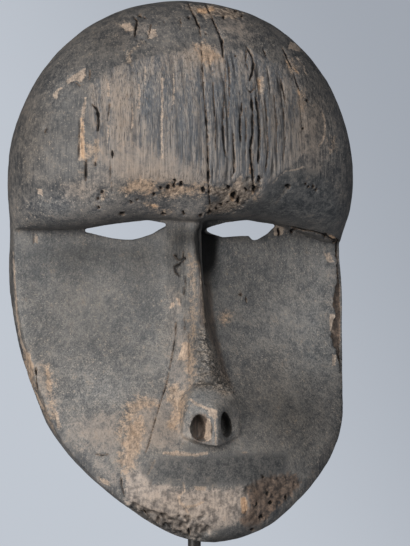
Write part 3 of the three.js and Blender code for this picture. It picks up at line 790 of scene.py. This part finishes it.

# %% [markdown]
# Broad tones, and painted light and shade. Years of handling have polished some areas lighter and
# left soot in others, with no edge between, and the wood turns from blue-grey to tan in the same
# soft way. The first list also paints light and shade into the colour: painted shade in the pocket
# beside the nose, under the brow, in the right nostril and on the far side of the jaw, and painted
# light on the brow's edge and where the right cheek faces the lamp. These ovals hold a place, half
# width, half height and strength. In the first list a strength of -0.3 makes the wood a third
# darker, in the second 1 is tan and -1 is blue-grey. The pocket is the deep, dark corner between
# the nose and the right eye.

# %% Broad tones, painted light and shade
# Handling and soot, and painted light and shade: the darkest ovals paint the shade in the pocket, the right
# nostril and under the brow.
TONE_LIGHT_AND_SHADE = [
    (206, 246, 10, 24, -0.98), (211, 258, 10, 28, -0.6), (208, 298, 6, 30, -0.12),
    (201, 428, 8, 12, 0.9), (209, 345, 7, 24, 0.12), (181, 258, 16, 30, -0.42),
    (190, 326, 14, 40, -0.35), (100, 250, 80, 22, -0.36), (60, 266, 44, 26, -0.22),
    (146, 274, 28, 36, -0.32), (88, 316, 42, 28, -0.2), (98, 388, 44, 28, 0.34),
    (318, 306, 34, 60, 0.3), (278, 340, 42, 40, 0.24), (290, 410, 50, 34, -0.38),
    (70, 208, 50, 16, 0.66), (165, 209, 46, 12, 1.0), (284, 212, 46, 12, 0.15),
    (240, 238, 44, 6, -0.35), (182, 230, 26, 14, -0.42), (200, 244, 4, 18, -0.8),
    (183, 350, 6, 10, 0.35), (118, 120, 34, 50, -0.06), (196, 350, 9, 36, -0.25),
    (212, 374, 10, 14, -0.36), (120, 300, 60, 50, -0.06), (190, 270, 10, 24, 0.15),
    (110, 50, 34, 26, -0.3), (26, 130, 14, 50, -0.14), (90, 252, 60, 12, -0.1),
    (335, 150, 14, 50, 0.4), (70, 135, 28, 36, -0.26), (195, 32, 48, 14, 0.2),
    (284, 120, 22, 36, -0.3), (236, 120, 26, 34, -0.2), (213, 395, 15, 8, 0.3), (196, 408, 7, 8, -0.2),
    (226, 424, 5, 13, -0.75), (236, 424, 4, 12, 0.9), (233, 402, 3, 3, -0.4),
    (240, 468, 70, 14, -0.28), (112, 205, 30, 14, 0.25), (175, 304, 7, 7, 0.3), (225, 318, 6, 7, 0.35),
    (224, 508, 22, 22, 0.16), (270, 492, 24, 16, -0.32), (257, 496, 4, 16, -0.4),
    (250, 518, 9, 7, -0.4), (193, 508, 3, 2, -0.5),
]
WARMTH = [
    (128, 140, 18, 36, 0.55), (147, 98, 7, 14, -1.0), (185, 125, 17, 38, -0.4),
    (150, 180, 46, 16, 0.9), (195, 55, 22, 9, 0.9), (214, 60, 10, 9, 0.8), (232, 112, 26, 46, -0.8),
    (120, 96, 14, 24, 0.5), (30, 140, 16, 50, 0.5), (58, 206, 26, 14, -0.8), (78, 193, 14, 14, 0.8),
    (62, 100, 14, 22, -0.7), (120, 32, 16, 18, 0.5), (230, 24, 34, 16, 0.4), (314, 124, 14, 34, 1.1),
    (300, 200, 40, 20, -0.6), (36, 262, 26, 30, -0.5), (80, 292, 40, 24, 0.2), (296, 432, 46, 36, 0.6),
    (96, 250, 50, 16, -0.4), (140, 320, 30, 26, -0.3), (175, 300, 7, 12, 0.9), (184, 350, 8, 14, 1.2),
    (168, 332, 10, 26, 0.5), (191, 320, 7, 70, 0.6), (180, 322, 4, 12, -0.9), (150, 432, 54, 34, 1.0),
    (40, 384, 14, 30, 0.8), (112, 400, 40, 22, -0.3), (225, 317, 7, 7, 1.2), (262, 384, 40, 26, 0.5),
    (316, 350, 20, 40, -0.4), (320, 280, 16, 30, -0.2), (190, 505, 70, 26, 0.9),
    (206, 396, 12, 9, -0.6), (225, 394, 9, 7, 0.7), (236, 422, 5, 14, 0.9), (196, 408, 8, 14, -0.5),
]


def soft_ovals(ovals, low, high):
    total = np.zeros(len(places))
    for x, y, half_width, half_height, strength in ovals:
        squares = ((places - (x, y)) / (half_width, half_height)) ** 2
        total += strength * np.exp(-squares.sum(axis=1))
    return np.clip(total, low, high) * in_view


# The tone of handling and soot, together with painted light and shade.
tone = soft_ovals(TONE_LIGHT_AND_SHADE, -0.98, 1)
warmth = soft_ovals(WARMTH, -1, 1.2)
DEEP_POCKET = [[
    (198, 230), (206, 227), (213.5, 232), (213, 250), (212, 264), (209, 285), (205.5, 285),
    (201.5, 262),
]]
pocket = ease(depth_in_any(DEEP_POCKET), -2, 7) * in_view
print("tone from", round(float(tone.min()), 2), "to", round(float(tone.max()), 2))

# %% [markdown]
# Carving. All marks become one depth in millimetres, and each point moves in by it along its
# facing. The scraped surface is never quite even, grooves run with the grain, chips lie a
# little lower than the patina round them, and rotten wood is lumpy. In the hollow the depth
# follows a gouge's strokes: shallow troughs side by side, about a finger wide.

# %% Carve the marks
GOUGE_WIDTH, GOUGE_LENGTH, GOUGE_DEPTH = 13.0, 34.0, 0.45
SHALLOW_GROOVE, DEEP_GROOVE = 0.22, 0.95
CHIP_DEPTH, TICK_DEPTH, POCKET_DEPTH = 0.3, 0.75, 5.0
BITTEN_EDGE = [(132, 500), (150, 508), (188, 522), (192, 548), (150, 545), (120, 520)]
grain_lines = lattice_noise(points_mm, (1.5, 9, 34), 4)
thin_lines = lattice_noise(points_mm, (0.9, 6, 22), 5)
rot = lattice_noise(points_mm, (1.8, 2.2, 4.4), 6)
tool_ticks = lattice_noise(points_mm, (3.4, 3, 1.3), 8)
groove = ease(grain_lines + 0.5 * thin_lines, 0.1, 0.8)
undulation = 0.28 + 0.2 * coarse + 0.07 * medium
stroke_row = (points_mm[:, 0] + 2.2 * coarse) / GOUGE_WIDTH
stroke_step = points_mm[:, 2] / GOUGE_LENGTH + 0.37 * np.floor(stroke_row)
trough = 1 - (2 * (stroke_row % 1) - 1) ** 2
trough *= 0.45 + 0.55 * np.sin(np.pi * (stroke_step % 1))
bitten = ease(depth_inside(BITTEN_EDGE), 0, 4)

carved = undulation + 0.15 * fine * np.maximum(crumbled, chin_worn)
carved += groove * (SHALLOW_GROOVE * grooved + DEEP_GROOVE * deep_grooved)
carved += crumbled * (0.3 + 0.8 * ease(rot + 0.4 * fine, 0, 0.8))
carved += tan_worn * (0.15 + 0.45 * ease(rot, 0.1, 0.8))
carved += chin_worn * (0.12 + 0.25 * ease(rot, 0, 0.7))
carved += chin_rotten * (0.5 + 1.5 * ease(rot, -0.3, 0.5))
carved += chin_brown * (0.2 + 0.6 * ease(rot + 0.5 * fine, 0, 0.8))
carved += rim_broken * (2.2 + 0.9 * rot)
carved += CHIP_DEPTH * bare + TICK_DEPTH * ticked * ease(tool_ticks, -0.1, 0.5)
carved += POCKET_DEPTH * pocket + GOUGE_DEPTH * inner * trough
carved = np.maximum(carved, split_depth + undulation)
carved += bitten * (1.6 + 1.0 * rot)
points -= facings * (carved * MM)[:, None]
smooth_mesh.vertices.foreach_set("co", points.astype(np.float32).ravel())
smooth_mesh.update()
print("carved up to", round(float(carved.max()), 1), "mm")

# %% [markdown]
# What the material must know later is kept on the points as attributes, because the thinning
# that follows blends them as it merges points. Zones keep the depth inside their outlines, so
# that the material can break up their edges more finely than the mesh could.

# %% Attributes, and thinning
HOLLOW_THINNING = 0.8


def zone(outlines, blur):
    return np.clip(depth_in_any(outlines) / blur, -1, 1) * in_view - (1 - in_view)


def triangle_count(mesh):
    return sum(len(polygon.vertices) - 2 for polygon in mesh.polygons)


bare_zone = zone(BARE, 3.0)
for half_width, line in BARE_LINES:
    near, gap, _ = gap_to_line(line)
    scratch = np.clip((half_width + 0.4 - gap) / 3, -1, 1) * in_view[near]
    bare_zone[near] = np.maximum(bare_zone[near], scratch)

attributes = {
    "crack": painted_crack_shade,
    "bare": bare_zone,
    "ochre": zone(OCHRE, 4.0),
    "rubbed": zone(RUBBED, 20.0),
    "crumbled": zone(CRUMBLED, 7.0),
    "tan": zone(TAN_WORN, 9.0),
    "chin": zone(CHIN_WORN, 10.0),
    "rotten": np.maximum(zone(CHIN_BROWN, 8.0), zone(RIM_BROKEN, 4.0)),
    "crust": zone(CRUST_AND_SHADE, 10.0),
    "tone": tone,
    "warmth": warmth,
    "grooved": grooved,
    "grained": zone(FINE_GRAINED, 10.0),
    "groove": groove * grooved * (0.6 + 0.4 * deep_grooved),
    "ticked": ticked * (0.5 + 0.5 * ease(-tool_ticks, -0.4, 0.3)),
    "flank": zone(NOSE_FLANK_SHADE, 5.0),
    "face": soft_patch(FACE, 3),
    "hollow": inner,
    "low": ease(carved - undulation, 0.1, 1.4),
}
for name, values in attributes.items():
    layer = smooth_mesh.attributes.new(name, "FLOAT", "POINT")
    layer.data.foreach_set("value", values.astype(np.float32))
fine_triangles = triangle_count(smooth_mesh)
hollow_share = float((inner > 0.5).mean())
kept_share = 1 - HOLLOW_THINNING * hollow_share
mask_mesh = shaped_mesh(
    smooth_mesh,
    "carved_mask",
    ("DECIMATE", {"ratio": kept_share, "vertex_group": "hollow"}),
    ("DECIMATE", {"ratio": TRIANGLE_LIMIT / (fine_triangles * kept_share)}),
    group=("hollow", np.flatnonzero(inner > 0.5)),
)
for polygon in mask_mesh.polygons:
    polygon.use_smooth = True
print("thinned from", fine_triangles, "to", triangle_count(mask_mesh), "triangles")

# %% [markdown]
# The wood. Its colour comes from a few noises, and from the attributes that were kept on the
# points. The noises are lumps of several sizes, and fibres, threads and streaks that are drawn
# out along the grain. Old wood is mottled at every scale, so each layer below mixes some of them
# and cuts the sum between two values, which lie close together for a hard edge and far apart for
# a soft one. One ragged noise breaks up the edges of all zones.

# %% Noises of the aged wood
aged_wood, wood, wood_sockets = new_material("aged_wood")
broad = wood.noise(24, detail=3, roughness=0.6)
patches = wood.noise(6.5, detail=3, roughness=0.6)
flakes = wood.noise(2.3, detail=3, roughness=0.65)
grit = wood.noise(0.8, detail=2, roughness=0.7)
fibres = wood.noise(0.75, (1, 0.6, 0.05), detail=3, roughness=0.7)
threads = wood.noise(0.5, (1, 0.6, 0.035), detail=2, roughness=0.6)
streaks = wood.noise(3.4, (1, 0.5, 0.075), detail=4, roughness=0.7)
curls = wood.noise(1.9, (1, 1, 0.8), detail=2, roughness=0.55)
ragged = (patches - 0.5) * 1.0 + (flakes - 0.5) * 1.7 + (grit - 0.5) * 1.3
face_part = wood.attribute("face")
grained_part = wood.attribute("grained").step(-0.3, 0.5)
warm = wood.attribute("warmth")


def zone_part(name, spread, low, high):
    """1 inside a zone of the mask and 0 outside it, with a ragged edge between."""
    return (wood.attribute(name) + ragged * spread).step(low, high)


print("noises: 8, first nodes:", len(aged_wood.node_tree.nodes))

# %% [markdown]
# The patina. Smoke, oil and handling have made a dark, grey skin over the wood, a little lighter
# on the face than on the dome. Its marks are only colour, so they are painted and not carved.
# Noise that is cut off close to its middle value leaves thin curls, like scribbles, and noise
# drawn out at a slant leaves scratches. Pale flecks lie where both small noises are high.

# %% The patina
dome_tone = (broad * 0.5 + patches * 0.5 + flakes * 0.45 + grit * 0.45 + fibres * 0.7).step(1.0, 1.6)
face_tone = (broad * 0.6 + patches * 0.4 + flakes * 0.4 + grit * 0.95 + fibres * 0.45).step(1.05, 1.75)
dome_skin = dome_tone.blend(rgb(0.020, 0.021, 0.023), rgb(0.112, 0.103, 0.094))
face_skin = face_tone.blend(rgb(0.040, 0.040, 0.040), rgb(0.146, 0.137, 0.126))
skin = face_part.blend(dome_skin, face_skin)

off_middle = curls - 0.5
scribble = 1 - off_middle.math("ABSOLUTE", off_middle).step(0.008, 0.04)
scribble = scribble * patches.step(0.44, 0.58) * (0.35 + face_part * 0.65)
skin = (scribble * 0.5).blend(skin, rgb(0.20, 0.188, 0.168))
scuffs = (0.5 - flakes).step(0.05, 0.16) * grit.step(0.4, 0.6)
skin = (scuffs * 0.25).blend(skin, rgb(0.026, 0.026, 0.028))

leaning = wood.noise(0.7, (1, 0.6, 0.17), detail=2, roughness=0.6, lean=38)
crossing = wood.noise(0.7, (1, 0.6, 0.17), detail=2, roughness=0.6, lean=-42)
leaning_share = patches.step(0.46, 0.54)
scratches = leaning * leaning_share + crossing * (1 - leaning_share)
skin = ((scratches - 0.5).step(0.05, 0.15) * face_part * 0.3).blend(skin, rgb(0.19, 0.178, 0.16))
skin = ((0.5 - scratches).step(0.05, 0.15) * face_part * 0.3).blend(skin, rgb(0.028, 0.028, 0.029))
flecks = grit.step(0.58, 0.68) * flakes.step(0.48, 0.62)
skin = (flecks * 0.85).blend(skin, rgb(0.29, 0.25, 0.205))
print("patina, nodes so far:", len(aged_wood.node_tree.nodes))

# %% [markdown]
# The grain. Where weather has opened the wood, dark and pale fibres show side by side. They are
# laid thinly over the patina now, and more strongly over the worn forehead below.

# %% Open grain
dark_fibres = (0.5 - fibres).step(0.05, 0.15) * 0.7
dark_fibres = dark_fibres.above((0.5 - threads).step(0.07, 0.15)) * grained_part
skin = (dark_fibres * 0.6).blend(skin, rgb(0.020, 0.019, 0.019))
pale_fibres = (fibres - 0.5).step(0.04, 0.14) * 0.7
pale_fibres = pale_fibres.above((threads - 0.5).step(0.08, 0.16)) * grained_part
skin = (pale_fibres * 0.5).blend(skin, rgb(0.17, 0.148, 0.128))
print("grain, nodes so far:", len(aged_wood.node_tree.nodes))

# %% [markdown]
# The forehead. Its middle has lost the patina: streaks of blue-grey and beige run down it, and
# the bottoms of the grooves stay dark. The places that are only rubbed turn a dull beige.

# %% The worn forehead and rubbed places
worn_part = zone_part("grooved", 0.35, 0.3, 0.75)
beige_part = (streaks * 0.9 + flakes * 0.15 + warm * 0.16).step(0.42, 0.66)
worn_wood = beige_part.blend(rgb(0.070, 0.073, 0.078), rgb(0.200, 0.170, 0.145))
worn_wood = (pale_fibres * 0.62).blend(worn_wood, rgb(0.27, 0.228, 0.19))
worn_wood = (dark_fibres * 0.8).blend(worn_wood, rgb(0.030, 0.026, 0.024))
worn_wood = ((1 - flakes.step(0.32, 0.46)) * 0.4).blend(worn_wood, rgb(0.05, 0.048, 0.048))
worn_wood = (wood.attribute("groove") * 0.6).blend(worn_wood, rgb(0.024, 0.021, 0.020))
skin = (worn_part * 0.92).blend(skin, worn_wood)

rubbed_wood = (patches * 0.5 + flakes * 0.3 + fibres * 0.4 + grit * 0.15).step(0.5, 0.86)
rubbed_wood = rubbed_wood.blend(rgb(0.095, 0.085, 0.078), rgb(0.232, 0.197, 0.168))
skin = (zone_part("rubbed", 0.8, -0.1, 0.8) * 0.68).blend(skin, rubbed_wood)
print("worn forehead, nodes so far:", len(aged_wood.node_tree.nodes))

# %% [markdown]
# Rotten and crumbled wood. The chin is soft, pale wood with a brown, pitted end, and the edge of
# the brow has crumbled to tan crumbs with dark gaps. These lumps are as wide as they are high,
# because rot breaks across the grain.

# %% Chin, crumbled edges and rot
chin_wood = (patches * 0.5 + flakes * 0.6 + fibres * 0.15 + streaks * 0.1 + grit * 0.2).step(0.62, 0.96)
chin_wood = chin_wood.blend(rgb(0.086, 0.073, 0.064), rgb(0.300, 0.256, 0.220))
skin = (zone_part("chin", 0.9, -0.25, 0.45) * 0.92).blend(skin, chin_wood)
crumbled_part = zone_part("crumbled", 0.8, -0.05, 0.5)
crumbled_wood = (flakes * 0.55 + grit * 0.35 + streaks * 0.3).step(0.5, 0.76)
crumbled_wood = crumbled_wood.blend(rgb(0.075, 0.056, 0.043), rgb(0.33, 0.265, 0.205))
skin = (crumbled_part * 0.9).blend(skin, crumbled_wood)
rotten_part = zone_part("rotten", 0.8, -0.1, 0.5)
rotten_wood = (patches * 0.35 + flakes * 0.6 + streaks * 0.3 + grit * 0.2).step(0.58, 0.88)
rotten_wood = rotten_wood.blend(rgb(0.026, 0.018, 0.014), rgb(0.185, 0.128, 0.094))
skin = (rotten_part * 0.85).blend(skin, rotten_wood)
print("rot, nodes so far:", len(aged_wood.node_tree.nodes))

# %% [markdown]
# Bare wood. Single chips are down to pale wood, and a few to orange. The side of the nose is
# brown along the grain and darker, as painted shade on its steep flank and in the left nostril.
# Tan places lie between bare and rubbed, and a row of tool ticks down the ridge of the nose gets
# pale and dark specks like beads that catch the light: painted highlights, strongest on the
# crests between the ticks.

# %% Chips, tan places and the nose
# Brown grain, darkened as painted shade on the nose's flank and in the nostril.
flank_wood = (fibres * 0.6 + streaks * 0.4).step(0.4, 0.66)
flank_wood = flank_wood.blend(rgb(0.022, 0.017, 0.014), rgb(0.125, 0.090, 0.068))
skin = (zone_part("flank", 0.4, -0.3, 0.6) * 0.8).blend(skin, flank_wood)
bare_part = zone_part("bare", 0.6, -0.05, 0.35)
bare_wood = (fibres * 0.45 + flakes * 0.5 + grit * 0.3).step(0.46, 0.80)
bare_wood = bare_wood.blend(rgb(0.14, 0.110, 0.088), rgb(0.36, 0.284, 0.220))
skin = (bare_part * 0.88).blend(skin, bare_wood)
tan_wood = (flakes * 0.5 + grit * 0.3 + fibres * 0.35).step(0.44, 0.74)
tan_wood = tan_wood.blend(rgb(0.115, 0.083, 0.060), rgb(0.345, 0.256, 0.182))
skin = (zone_part("tan", 1.1, -0.3, 0.65) * 0.8).blend(skin, tan_wood)
ochre_wood = (fibres * 0.6 + flakes * 0.4).step(0.36, 0.6)
ochre_wood = ochre_wood.blend(rgb(0.185, 0.105, 0.055), rgb(0.46, 0.305, 0.19))
skin = (zone_part("ochre", 0.45, 0.0, 0.5) * 0.85).blend(skin, ochre_wood)
# Painted highlights: pale specks over the tool ticks, strongest on the crests between them, with dark specks
# among them.
ticked_wood_and_highlights = (flakes * 0.35 + grit * 0.65).step(0.46, 0.57)
ticked_wood_and_highlights = ticked_wood_and_highlights.blend(rgb(0.016, 0.013, 0.010), rgb(0.245, 0.202, 0.163))
skin = (wood.attribute("ticked") * 0.8).blend(skin, ticked_wood_and_highlights)
print("bare wood, nodes so far:", len(aged_wood.node_tree.nodes))

# %% [markdown]
# Crust, dirt and painted shade. A black crust is left over the mouth, and the same dark colour
# paints the shade under the brow's right end and under the chin's right end. A tint then turns the
# wood tan or blue-grey, as the broad tones say. All low places are darkened, the more the deeper
# they are cut: dirt, and painted shade. The hollow is plain brown wood, and the splits are painted
# black inside, as painted shade, with brown crumbling edges. The broad tones come last, as handling
# and soot did, and with them the painted light and shade, so they lighten or darken whatever lies
# under them.

# %% Crust, hollow, dirt, painted shade and cracks
# Crust, and painted shade under the brow's right end and under the chin.
crust_wood = (patches * 0.3 + flakes * 0.5 + grit * 0.4).step(0.48, 0.74)
crust_wood = crust_wood.blend(rgb(0.017, 0.018, 0.019), rgb(0.092, 0.089, 0.085))
skin = (zone_part("crust", 1.1, -0.1, 0.42) * 0.8).blend(skin, crust_wood)
hue = warm + (patches - 0.5) * 1.8 + (flakes - 0.5) * 1.2
tint = (hue * 0.5 + 0.5).blend(rgb(1.015, 1.08, 1.155), rgb(1.15, 1.08, 1.02))
skin = skin.tinted(tint)
hollow_part = wood.attribute("hollow")
hollow_wood = (streaks * 0.6 + flakes * 0.5).step(0.4, 0.75)
hollow_wood = hollow_wood.blend(rgb(0.035, 0.026, 0.02), rgb(0.115, 0.085, 0.062))
skin = hollow_part.blend(skin, hollow_wood)
# Dirt and painted shade: low places are darkened, the more the deeper they are cut.
dirt_and_shade = (wood.attribute("low") * 0.5 + (0.5 - flakes) * 0.9).step(0.05, 0.55)
skin = (dirt_and_shade * 0.55).blend(skin, rgb(0.020, 0.016, 0.013))
crack = wood.attribute("crack")
crumbling_edge = (crack + ragged * 0.35).step(0.08, 0.3)
edge_wood = grit.step(0.42, 0.58).blend(rgb(0.038, 0.026, 0.019), rgb(0.165, 0.110, 0.072))
skin = (crumbling_edge * 0.7).blend(skin, edge_wood)
# Painted shade: the inside of the splits and pits is painted nearly black.
crack_part = (crack + (grit - 0.5) * 0.5).step(0.3, 0.6)
skin = crack_part.blend(skin, rgb(0.004, 0.003, 0.0025))
# The broad tones scale the colour last: handling and soot, and painted light and shade.
tone_share = wood.attribute("tone")
feed(skin.scaled(1 + tone_share), wood_sockets["Base Color"])
print("crust and dirt, nodes so far:", len(aged_wood.node_tree.nodes))

# %% [markdown]
# The sheen. A handled patina has a low gloss, and raw wood has none. Nor have the places that the
# broad tones darken most, which are soot and painted shade, so the roughness follows the same parts
# as the colour. Fibres, flakes and grit are finer than the mesh, and a small bump stands for them.

# %% The wood's sheen and fine relief
WOOD_GLOSS = 0.34
raw_part = bare_part.above(crumbled_part).above(rotten_part)
raw_part = raw_part.above(hollow_part).above(worn_part * 0.7)
# Rough where the broad tones darken most: soot, and painted shade.
shade_and_soot_part = (0 - tone_share).step(0.4, 0.9)
feed(0.58 + raw_part * 0.26 + shade_and_soot_part * 0.4 + (flakes - 0.5) * 0.3, wood_sockets["Roughness"])
wood_sockets["Specular IOR Level"].default_value = WOOD_GLOSS
relief = grit * 0.35 + flakes * 0.5 + fibres * (0.15 + grained_part * 0.75) + scratches * 0.3
wood_relief = {"Strength": 0.7, "Distance": 0.35 * MM, "Height": relief}
feed(wood.node("ShaderNodeBump", {}, wood_relief), wood_sockets["Normal"])
print("aged wood:", len(aged_wood.node_tree.nodes), "nodes")

# %% [markdown]
# The mask is one piece of wood and one piece here, so its mesh becomes one object. It rides on
# the part's root, and it takes the place of the solid in every picture.

# %% The mask as a piece
carved_mask = placed("carved_mask", mask_mesh)
carved_mask.data.materials.append(aged_wood)
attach(carved_mask, "root")
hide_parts("mask")
print("mask piece:", len(mask_mesh.vertices), "points")

# %% [markdown]
# The stand. It is blackened steel: a rod bent from one bar, with a crossbar and a short arm
# welded on, and a plate for a foot. The solids have flat facets round the rod, so copies of
# them are creased and subdivided until they are round, and the plate gets a small bevel, which
# catches the light as a filed edge does.

# %% Rod and foot
ROD_CREASE_ANGLE = math.radians(50)
ROD_CREASE = 0.9
FOOT_EDGE_ANGLE = math.radians(60)
FOOT_BEVEL = 0.9 * MM
FLAT_ANGLE = math.radians(1)

rod_form = bmesh.new()
rod_form.from_mesh(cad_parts["stand_rod"].data)
join_faces(rod_form)
rod_crease = rod_form.edges.layers.float.new("crease_edge")
for edge in rod_form.edges:
    if edge.is_manifold and edge.calc_face_angle() > ROD_CREASE_ANGLE:
        edge[rod_crease] = ROD_CREASE
rod_mesh = finished_mesh(rod_form, "steel_rod", ("SUBSURF", {"levels": 2, "render_levels": 2}))
foot_form = bmesh.new()
foot_form.from_mesh(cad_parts["stand_foot"].data)
bmesh.ops.remove_doubles(foot_form, verts=foot_form.verts, dist=SAME_PLACE)
bmesh.ops.dissolve_limit(foot_form, angle_limit=FLAT_ANGLE, verts=foot_form.verts, edges=foot_form.edges)
rims = [
    edge for edge in foot_form.edges if edge.is_manifold and edge.calc_face_angle() > FOOT_EDGE_ANGLE
]
bmesh.ops.bevel(
    foot_form, geom=rims, offset=FOOT_BEVEL, offset_type="OFFSET", segments=3, profile=0.5, affect="EDGES",
    material=-1,
)
foot_mesh = finished_mesh(foot_form, "steel_foot")
print("rod:", len(rod_mesh.polygons), "faces, foot:", len(foot_mesh.polygons), "faces")

# %% [markdown]
# The blackened steel is nearly black, with a faint brown where the oxide is thin and brighter
# metal rubbed free in specks. Two noises are enough: a broad one for the oxide, and a fine one
# drawn out along the rod, as a wire brush leaves it.

# %% The blackened steel
blackened_steel, steel, steel_sockets = new_material("blackened_steel")
oxide = steel.noise(9, detail=4, roughness=0.6)
brushed = steel.noise(1.1, (1, 1, 0.15), detail=3, roughness=0.6)
steel_skin = oxide.step(0.35, 0.7).blend(rgb(0.018, 0.018, 0.019), rgb(0.050, 0.042, 0.034))
steel_skin = (brushed.step(0.6, 0.8) * 0.4).blend(steel_skin, rgb(0.10, 0.095, 0.088))
feed(steel_skin, steel_sockets["Base Color"])
steel_sockets["Metallic"].default_value = 0.35
feed(0.42 + (oxide - 0.5) * 0.3 + (brushed - 0.5) * 0.15, steel_sockets["Roughness"])
steel_relief = {"Strength": 0.3, "Distance": 0.1 * MM, "Height": brushed * 0.6 + oxide}
feed(steel.node("ShaderNodeBump", {}, steel_relief), steel_sockets["Normal"])
print("blackened steel:", len(blackened_steel.node_tree.nodes), "nodes")

# %% [markdown]
# The rod and the foot are two pieces, as on most stands of this kind. The rod is shaded smooth
# because it is round, and the foot flat because it is a plate.

# %% The stand's pieces
for name, mesh, node in (("steel_rod", rod_mesh, "stand_rod"), ("steel_foot", foot_mesh, "stand_foot")):
    piece = placed(name, mesh)
    mesh.materials.clear()
    mesh.materials.append(blackened_steel)
    for polygon in mesh.polygons:
        polygon.use_smooth = name == "steel_rod"
    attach(piece, "root")
    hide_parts(node)
print("stand pieces: 2")

# %% [markdown]
# Last: wear only takes wood away, so the dressed part has to stay inside the box of the solids.
